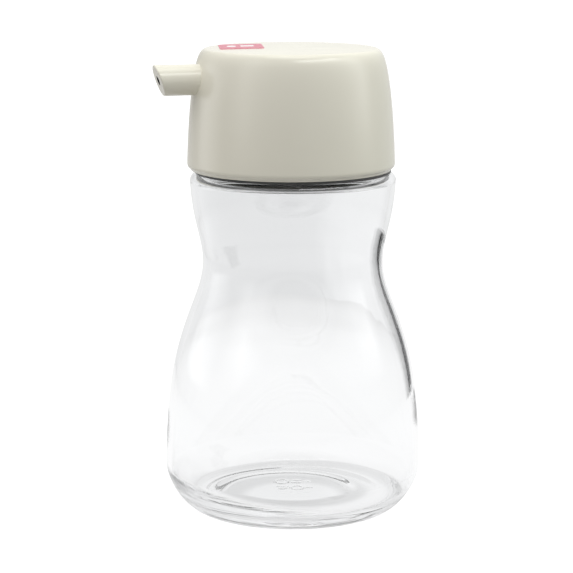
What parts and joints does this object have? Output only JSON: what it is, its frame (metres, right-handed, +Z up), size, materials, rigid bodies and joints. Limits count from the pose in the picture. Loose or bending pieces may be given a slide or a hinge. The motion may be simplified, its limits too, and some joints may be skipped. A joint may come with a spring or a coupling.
{
  "type": "glass condiment dispenser",
  "caption": "Waisted clear glass condiment bottle with a ringed base, a domed off-white cap with a slim side spout, a thin dark sealing ring and a small plain sticker.",
  "frame": {"origin": "on the bottle's axis, in the plane it stands on", "axes": "+Z up along the bottle's axis, the spout points along -X"},
  "size_m": [0.066, 0.0628, 0.1137],
  "materials": {
    "clear_glass": "polished clear soda-lime glass",
    "seal_rubber": "smooth dark rubber",
    "cap_plastic": "satin warm off-white moulded plastic",
    "sticker": "smooth printed film, pink-red with plain white shapes"
  },
  "bodies": {
    "root": {"glass_bottle": "clear_glass", "seal_ring": "seal_rubber", "cap": "cap_plastic", "spout": "cap_plastic", "top_label": "sticker"}
  },
  "joints": []
}
